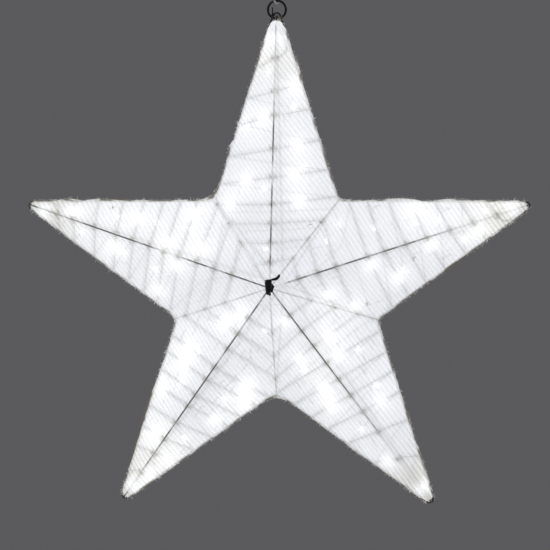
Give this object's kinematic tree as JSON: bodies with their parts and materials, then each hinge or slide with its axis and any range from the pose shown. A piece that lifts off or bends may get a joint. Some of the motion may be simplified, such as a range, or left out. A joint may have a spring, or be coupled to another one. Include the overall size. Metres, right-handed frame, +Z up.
{
  "type": "led christmas star",
  "caption": "Five-pointed hanging light star: a steel wire frame wound inside with a string of white lamps, under a stretched white fabric cover, on a ring and an S-hook",
  "frame": {"origin": "where the upper bend of the S-hook rests on what holds the star: the lowest point of the inside of that bend's top", "axes": "+Z up; the star lies in the XZ plane and its front faces -Y; +X is to the right of someone who looks at the front"},
  "size_m": [0.6006, 0.1361, 0.6315],
  "materials": {
    "hook_steel": "dark steel, worn bright at the bend",
    "black_steel": "black paint, satin",
    "frame_steel": "dark drawn steel wire, dull",
    "cover_fabric": "white translucent ribbed knit, lit from inside",
    "cord_plastic": "grey green cord insulation",
    "lamp_plastic": "clear lamp bead, cool white",
    "clip_plastic": "olive brown plastic"
  },
  "bodies": {
    "hook": {"hanging_hook": "hook_steel"},
    "ring": {"hanging_ring": "black_steel"},
    "star": {"outline_wire": "frame_steel", "ridge_wire_top": "frame_steel", "ridge_wire_right": "frame_steel", "ridge_wire_lower_right": "frame_steel", "ridge_wire_lower_left": "frame_steel", "ridge_wire_left": "frame_steel", "valley_wire_1": "frame_steel", "valley_wire_2": "frame_steel", "valley_wire_3": "frame_steel", "valley_wire_4": "frame_steel", "valley_wire_5": "frame_steel", "front_hub": "black_steel", "back_hub": "black_steel", "binding_wire": "black_steel", "front_cover": "cover_fabric", "back_cover": "cover_fabric", "light_cord_top": "cord_plastic", "light_cord_right": "cord_plastic", "light_cord_lower_right": "cord_plastic", "light_cord_lower_left": "cord_plastic", "light_cord_left": "cord_plastic", "lamps_top": "lamp_plastic", "lamps_right": "lamp_plastic", "lamps_lower_right": "lamp_plastic", "lamps_lower_left": "lamp_plastic", "lamps_left": "lamp_plastic", "cord_clips_top": "clip_plastic", "cord_clips_right": "clip_plastic", "cord_clips_lower_right": "clip_plastic", "cord_clips_lower_left": "clip_plastic", "cord_clips_left": "clip_plastic"}
  },
  "joints": [
    {"name": "ring_on_hook", "type": "hinge", "parent": "hook", "child": "ring", "pos_m": [0, 0, -0.03695], "axis": [0, 1, 0], "range_deg": [-20, 20]},
    {"name": "star_on_ring", "type": "hinge", "parent": "ring", "child": "star", "pos_m": [0, 0, -0.05535], "axis": [1, 0, 0], "range_deg": [-20, 20]}
  ]
}
